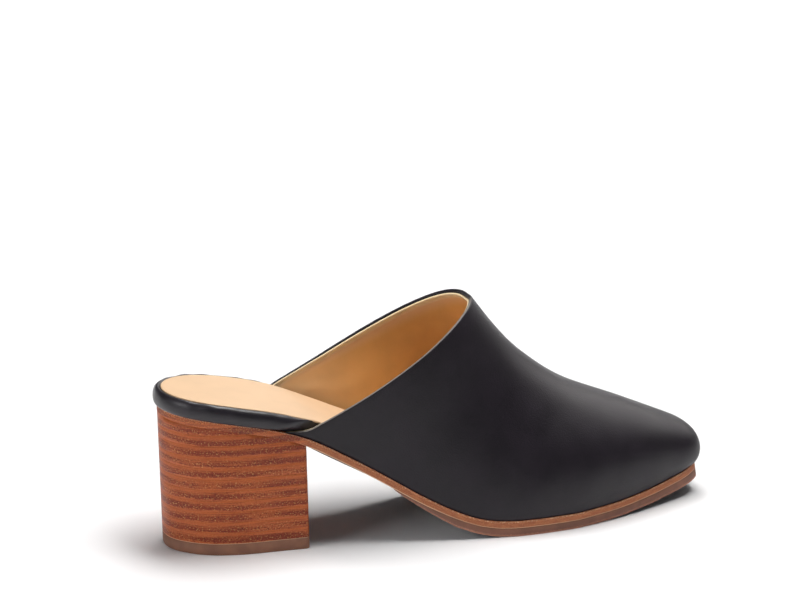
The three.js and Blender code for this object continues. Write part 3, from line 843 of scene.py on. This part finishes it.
def wall_patches(last, outside, thickness, below=0.0, beads=(0.0, 0.0), creases=False):
    """One ply of the upper's wall between two depths under the last's outer face, with a
    rounded edge that ends a given distance below the collar and a flat foot on the sole.
    Along the edge its outer and inner faces can swell inwards by beads, each as
    exp(-(d / width) ^ 2) of the distance d to the edge."""
    end = len(SECTIONS) - 1
    nudge = 1e-3
    angle = np.linspace(0, np.pi, UPPER_COLUMNS)[None, :]
    pace = np.linalg.norm(last.upper(nudge, angle) - last.upper(0.0, angle), axis=-1) / nudge
    start = (below + thickness / 2) / pace
    row = mix(start, end, np.linspace(0, 1, UPPER_ROWS)[:, None]**ROW_SPREAD)
    angle = np.broadcast_to(angle, row.shape)
    before, after = np.clip(row - nudge, 0, end), np.clip(row + nudge, 0, end)
    low, high = np.clip(angle - nudge, 0, np.pi), np.clip(angle + nudge, 0, np.pi)
    point = last.upper(row, angle)
    along = last.upper(after, angle) - last.upper(before, angle)
    across = last.upper(row, high) - last.upper(row, low)
    normal = np.cross(along, across)
    normal /= np.linalg.norm(normal, axis=-1, keepdims=True)
    edge = (row - start) * pace
    swell = np.exp(-(edge / BEAD_WIDTH)**2)
    depths = [outside + beads[0] * swell, outside + thickness + beads[1] * swell]
    if creases:
        depths[1] = depths[1] + creased(last, point) * ease(edge / CREASE_START)
    near, far = [point - normal * depth[..., None] for depth in depths]
    for face in (near, far):
        for foot in (face[:, 0], face[:, -1], face[-1]):
            foot[:, 2] = last.sole_top(foot[:, 0]) + GLUE_GAP
    away = -along[0]
    away -= normal[0] * np.sum(away * normal[0], -1, keepdims=True)
    away /= np.linalg.norm(away, axis=-1, keepdims=True)
    round_angle = np.linspace(0, np.pi, EDGE_STEPS + 1)[:, None, None]
    centre = (near[0] + far[0]) / 2
    reach = (near[0] - far[0]) / 2
    rim = centre + reach * np.cos(round_angle) + away * thickness / 2 * np.sin(round_angle)
    share = (1 - np.cos(round_angle)) / 2
    feet = [mix(near[foot], far[foot], share) for foot in (np.s_[:, 0], np.s_[:, -1], -1)]
    ends = [np.stack([mix(near[0, j], far[0, j], share[:, 0]), rim[:, j]]) for j in (0, -1)]
    maps = [np.stack([edge, np.full_like(edge, side)], -1) for side in (1.0, 0.0)]
    over = -thickness / 2 * np.sin(round_angle[:, :, 0]) * np.ones_like(angle[:1])
    rim_map = np.stack([over, np.zeros_like(over)], -1)
    return [grid(near, maps[0]), grid(far, maps[1]), grid(rim, rim_map),
            *(grid(part) for part in (*feet, *ends))]


class MULE_OT_upper(bpy.types.Operator):
    """Black leather of the upper and its tan lining"""

    bl_idname = "mule.upper"
    bl_label = "Upper"

    def execute(self, context):
        last = form()
        patches = wall_patches(last, 0.0, last.sizes.upper_leather, beads=(0.0, FOLD_BEAD))
        new_piece("upper_leather", patches, "black_leather", black_leather(), "upper")
        depth = last.sizes.upper_leather + GLUE_GAP
        beads = (FOLD_BEAD, FOLD_BEAD + LINING_BEAD)
        patches = wall_patches(last, depth, last.sizes.wall - depth, LINING_DROP, beads, True)
        new_piece("upper_lining", patches, "tan_leather", lining_leather(), "upper")
        return {"FINISHED"}


def rim_offset(last, out, share, tuck):
    """How far a level of the footbed's side stands out past the sole: over it at the bare
    seat, inside the upper's wall further on, and short of the upper at the toe."""
    sizes = last.sizes
    length = sizes.rim_ease * SETTLE_LENGTH
    early = sizes.rim_ease * np.interp(share, *SETTLE.T)
    wall = sizes.feather + sizes.wall + RIM_CLEARANCE
    short = sizes.bed_end - wall

    def offset(x):
        drawn = ease((x - (sizes.rim_end - early - length)) / length)
        inside = -wall - tuck - short * ease((x - (last.length - TOE_EASE)) / TOE_EASE)
        return mix(out, inside, drawn)

    return offset


def puckers(x):
    """Slow ripple of stretched leather along the shoe: the product of two sines, and half
    of a third that starts 1.3 into its wave."""
    fine, slow, third = (np.sin(x / wave + start) for wave, start in zip(PUCKER_WAVES, (0, 0, 1.3)))
    return fine * slow + 0.5 * third


def footbed_patches(last):
    """Leather wrap of the footbed, with a soft rim round the bare seat."""
    sizes = last.sizes
    smooth = [natural(column) for column in RIM_PROFILE.T]
    crest = RIM_PROFILE[:, 0].argmax()
    rows = []
    for at in np.linspace(0, len(RIM_PROFILE) - 1, RIM_ROWS):
        out, share, rise = (curve(at) for curve in smooth)
        drawn = rim_offset(last, out * MM, share, max(0.0, at - crest) * RIM_TUCK)

        def offset(x, share=share, drawn=drawn):
            return drawn(x) + sizes.rim_puckers * share * puckers(x)

        def height(x, share=share, rise=rise * MM):
            bare = 1 - ease((x - (sizes.rim_end - 0.3 * sizes.rim_ease)) / sizes.rim_ease)
            level = mix(last.sole_top(x), last.bed_top(x), share)
            return level + (rise + sizes.rim_puckers * share * puckers(x)) * bare

        rows.append((offset, height, share))
    return plate(last.outline(), rows, (None, last.bed_top))


def sock_patches(last):
    """Sock lining on the footbed, a margin inside its rim."""
    sizes = last.sizes
    margin = sizes.rim_overhang - sizes.sock_margin
    rows = []
    for out, up in SOCK_PROFILE:
        rows.append((rim_offset(last, margin + out * MM, 1.0, RIM_TUCK - out * MM),
                     lambda x, k=up: last.bed_top(x) + sizes.sock_thickness * k, up))
    return plate(last.outline(), rows, (None, lambda x: last.bed_top(x) + sizes.sock_thickness))


class MULE_OT_footbed(bpy.types.Operator):
    """Leather-wrapped footbed and the sock lining on it"""

    bl_idname = "mule.footbed"
    bl_label = "Footbed"

    def execute(self, context):
        last = form()
        new_piece("footbed_wrap", footbed_patches(last), "black_leather", rim_leather(), "footbed")
        new_piece("sock_lining", sock_patches(last), "tan_leather", sock_leather(), "sock")
        return {"FINISHED"}


def bevelled(low, high, bevel):
    """Rows of a plate with small round arrises above and below. Low, high and the arris's
    radius are functions of the place along the shoe."""
    rows = []
    for face, way, level in ((low, 1, 0), (high, -1, 1)):
        for angle in np.radians(ARRIS_DEGREES[::way]):
            out, rise = math.sin(angle) - 1, way * (1 - math.cos(angle))
            rows.append((lambda x, out=out: bevel(x) * out,
                         lambda x, face=face, rise=rise: face(x) + bevel(x) * rise,
                         level + way * ARRIS_SHARE * math.sin(angle)))
    return rows


class MULE_OT_sole(bpy.types.Operator):
    """Leather outsole, and the rubber under its forefoot, skived thin at the arch"""

    bl_idname = "mule.sole"
    bl_label = "Sole"

    def execute(self, context):
        last = form()
        sizes = last.sizes

        def bevel(x):
            return mix(SEAT_ARRIS, SOLE_ARRIS, ease((x - sizes.heel_length) / ARRIS_EASE))

        def camber(x):
            return sizes.waist_camber * stretch(x, WAIST_START, WAIST_RISE, sizes.rubber_start,
                                                WAIST_FALL)

        def low(x):
            full = np.clip((x - sizes.rubber_start) / sizes.skive_length, 0, 1)
            return last.sole_under(x) - mix(sizes.skived_edge, sizes.rubber, full)

        rows = bevelled(last.sole_under, last.sole_top, bevel)
        patches = plate(last.outline(), rows, (last.sole_under, last.sole_top), camber)
        new_piece("outsole_leather", leaned(last, patches), "sole_leather", sole_edge_leather(),
                  "outsole")
        rows = bevelled(low, last.sole_under, lambda x: np.full_like(x, RUBBER_ARRIS))
        patches = plate(last.outline(sizes.rubber_start), rows, (low, last.sole_under))
        new_piece("forefoot_rubber", leaned(last, patches), "forefoot_rubber",
                  brown_rubber("forefoot_rubber", "rubber", True), "forefoot_sole")
        return {"FINISHED"}


def heel_plan(last, z, end):
    """Plan of the block heel at a height. It is the sole's own outline, moved forward and
    drawn in towards the floor, with a flat breast, unless it ends short of that."""
    sizes = last.sizes
    taper = 1 - z / sizes.seat_height
    back = sizes.back_rake * taper
    breast = sizes.heel_length + sizes.breast_rake * taper
    corner = breast - sizes.breast_corner
    short = end < corner
    t = (np.arange(HEEL_STEPS) + 0.5) / (HEEL_STEPS - 0.5)
    x = mix(back, end if short else corner, 1 - np.cos(np.pi / 2 * t))
    if not short:
        bend = np.sin(np.linspace(0, np.pi / 2, CORNER_STEPS + 1))[1:]
        x = np.concatenate([x, corner + sizes.breast_corner * bend])
    at = (x - back) * sizes.heel_length / (breast - back)
    past = np.clip(x - corner, 0, sizes.breast_corner)
    cut = sizes.breast_corner - np.sqrt(np.clip(sizes.breast_corner**2 - past**2, 0, None))
    narrow = sizes.side_taper * taper * np.clip(at / TAPER_START, 0, 1) + cut
    out, into = last.outer(at) - narrow, last.inner(at) - narrow
    return np.concatenate([np.c_[x, -out], np.c_[x, into][::-1]])


def heel_layer(last, rows, end=math.inf):
    """Patches of one layer of the heel, from rows of (height, offset), where the sole's
    underside cuts the layer."""
    wall = []
    for height, offset in rows:
        plan = heel_plan(last, height, end)
        plan = plan + plan_normals(plan) * offset
        wall.append(np.c_[plan, np.minimum(height, last.sole_under(plan[:, 0]))])

    def top(x):
        return np.minimum(rows[-1][0], last.sole_under(x))

    return [edge_patch(wall, [0.0] * len(wall)), cap_patch(wall[0], None, 0.0),
            cap_patch(wall[-1], top, 0.0)]


def lift_pitch(last):
    """Thickness of one lift of the stack."""
    sizes = last.sizes
    return (float(last.sole_under(0.0)) - sizes.top_piece) / sizes.lift_count


class MULE_OT_heel(bpy.types.Operator):
    """Leather lifts of the stacked heel and its rubber top piece"""

    bl_idname = "mule.heel"
    bl_label = "Heel"

    def execute(self, context):
        last = form()
        sizes = last.sizes
        material = stacked_leather()
        pitch = lift_pitch(last)
        along = np.linspace(0, sizes.heel_length, 5 * HEEL_STEPS)
        for index, node in enumerate(LIFT_NODES):
            low = sizes.top_piece + pitch * index
            high = low + pitch
            clear = along[last.sole_under(along) > low + 2 * JOINT]
            rows = [(low, -JOINT_INSET), (low + JOINT, 0.0), ((low + high) / 2, 0.0),
                    (high - JOINT, 0.0), (high, -JOINT_INSET)]
            patches = heel_layer(last, rows, clear.max())
            new_piece(node.replace("heel_", "stack_"), patches, "stacked_leather", material, node)
        arris = TOP_PIECE_ARRIS
        rows = [(0.0, -arris), (arris * 0.3, -arris * 0.3), (arris, 0.0), (sizes.top_piece, 0.0)]
        new_piece("heel_top_piece", heel_layer(last, rows), "top_piece_rubber",
                  brown_rubber("top_piece_rubber", "top_rubber", False), "top_piece")
        return {"FINISHED"}


# Stage

CAMERA_AZIMUTH = math.radians(-18.114)
CAMERA_ELEVATION = math.radians(15.891)
CAMERA_DISTANCE = 1.2
CAMERA_LENS = 123.9
CAMERA_AIM = Vector((113.6, 20.4, 92.3)) * MM

# Soft lamps of the studio: where each stands and what it faces, in metres from the middle
# of the shoe, its two sides, its power in watts, its spread and tint, and whether it lights
# surfaces as well as showing in their gloss.
Lamp = namedtuple("Lamp", "name place aim width height power spread tint lights")
LAMPS = [
    Lamp("overhead", (0.20, 0.08, 1.25), (0.0, 0.0, 0.0), 1.0, 0.45, 18.5, 180,
         (1.0, 0.99, 0.98), True),
    Lamp("background", (0.3, 2.4, 1.6), (0.3, 2.4, 0.0), 4.5, 1.6, 190.0, 90,
         (1.0, 1.0, 1.0), True),
    Lamp("behind_toe", (1.5, 1.25, 1.2), (0.1, 0.0, 0.03), 2.4, 1.2, 21.5, 180,
         (1.0, 0.97, 0.95), False),
    Lamp("left", (-1.5, -0.45, 0.7), (0.0, 0.0, 0.05), 0.8, 0.8, 6.5, 180,
         (0.98, 0.98, 1.0), True),
]
WORLD_TINT = (0.94, 0.96, 1.0)
WORLD_STRENGTH = 0.10


def area_light(lamp):
    """Soft rectangular lamp that faces a point."""
    light = bpy.data.lights.new(lamp.name, "AREA")
    light.shape = "RECTANGLE"
    light.size, light.size_y = lamp.width, lamp.height
    light.energy = lamp.power
    light.spread = math.radians(lamp.spread)
    light.color = lamp.tint
    stand = bpy.data.objects.new(lamp.name, light)
    stand.location = lamp.place
    facing = Vector(lamp.aim) - Vector(lamp.place)
    stand.rotation_euler = facing.to_track_quat("-Z", "Y").to_euler()
    stand.visible_diffuse = lamp.lights
    bpy.context.scene.collection.objects.link(stand)


class MULE_OT_stage(bpy.types.Operator):
    """Pale floor, soft light and the camera"""

    bl_idname = "mule.stage"
    bl_label = "Stage"

    def execute(self, context):
        scene = context.scene
        mesh = bpy.data.meshes.new("floor")
        reach = 6.0
        mesh.from_pydata([(-reach, -reach, 0), (reach, -reach, 0), (reach, reach, 0),
                          (-reach, reach, 0)], [], [(0, 1, 2, 3)])
        paper = Finish("floor_paper")
        mesh.materials.append(paper.set(Base_Color=(0.95, 0.95, 0.955), Roughness=0.9,
                                        Specular_IOR_Level=0.1))
        floor = bpy.data.objects.new("floor", mesh)
        scene.collection.objects.link(floor)
        world = bpy.data.worlds.new("studio")
        world.use_nodes = True
        background = world.node_tree.nodes["Background"]
        background.inputs["Color"].default_value = (*WORLD_TINT, 1)
        background.inputs["Strength"].default_value = WORLD_STRENGTH
        scene.world = world
        for lamp in LAMPS:
            area_light(lamp)
        camera = bpy.data.objects.new("camera", bpy.data.cameras.new("camera"))
        camera.data.lens = CAMERA_LENS
        camera.data.clip_end = 50
        facing = Euler((math.pi / 2 - CAMERA_ELEVATION, 0, CAMERA_AZIMUTH))
        away = facing.to_matrix() @ Vector((0, 0, CAMERA_DISTANCE))
        camera.location = CAMERA_AIM + Vector(form().origin) + away
        camera.rotation_euler = facing
        scene.collection.objects.link(camera)
        scene.camera = camera
        scene.view_settings.view_transform = "Standard"
        return {"FINISHED"}


OPERATORS = [MULE_OT_stage, MULE_OT_upper, MULE_OT_footbed, MULE_OT_sole, MULE_OT_heel]


class MULE_PT_panel(bpy.types.Panel):
    """Buttons that build the shoe's pieces"""

    bl_idname = "MULE_PT_panel"
    bl_label = "Block heel mule"
    bl_space_type = "VIEW_3D"
    bl_region_type = "UI"
    bl_category = "Mule"

    def draw(self, context):
        for operator in OPERATORS:
            self.layout.operator(operator.bl_idname)


CLASSES = [MuleSizes, MuleColours, *OPERATORS, MULE_PT_panel]


def register():
    for each in CLASSES:
        bpy.utils.register_class(each)
    bpy.types.Scene.mule_sizes = PointerProperty(type=MuleSizes)
    bpy.types.Scene.mule_colours = PointerProperty(type=MuleColours)


def unregister():
    del bpy.types.Scene.mule_colours
    del bpy.types.Scene.mule_sizes
    for each in reversed(CLASSES):
        bpy.utils.unregister_class(each)


def main():
    register()
    for operator in OPERATORS:
        getattr(bpy.ops.mule, operator.bl_idname.split(".")[1])()


if __name__ == "__main__":
    main()
